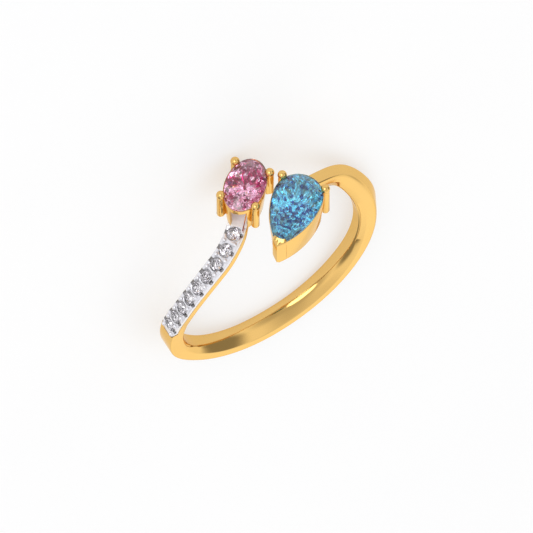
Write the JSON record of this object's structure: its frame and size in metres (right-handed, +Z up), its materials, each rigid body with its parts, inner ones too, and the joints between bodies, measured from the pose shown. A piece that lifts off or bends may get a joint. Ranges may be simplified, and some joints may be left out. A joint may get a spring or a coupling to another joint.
{
  "type": "toi et moi ring",
  "caption": "Open bypass finger ring whose arms end in an oval stone and a pear stone in claw settings, with a strip of small round stones on one arm.",
  "frame": {"origin": "middle of the finger hole, on its axis", "axes": "the ring lies on its side: +Z up from the table, near the finger hole's axis; -Y towards the two large stones; +X to the oval stone's arm"},
  "size_m": [0.0198, 0.0231, 0.0085],
  "materials": {
    "gold": "polished",
    "white_metal": "polished",
    "pink_stone": "polished",
    "blue_stone": "polished",
    "clear_stone": "polished"
  },
  "bodies": {
    "root": {"band": "gold", "pave_plate": "white_metal", "oval_stone": "pink_stone", "pear_stone": "blue_stone", "pave_stone_1": "clear_stone", "pave_stone_2": "clear_stone", "pave_stone_3": "clear_stone", "pave_stone_4": "clear_stone", "pave_stone_5": "clear_stone", "pave_stone_6": "clear_stone", "pave_stone_7": "clear_stone", "pave_stone_8": "clear_stone", "pave_stone_9": "clear_stone"}
  },
  "joints": []
}
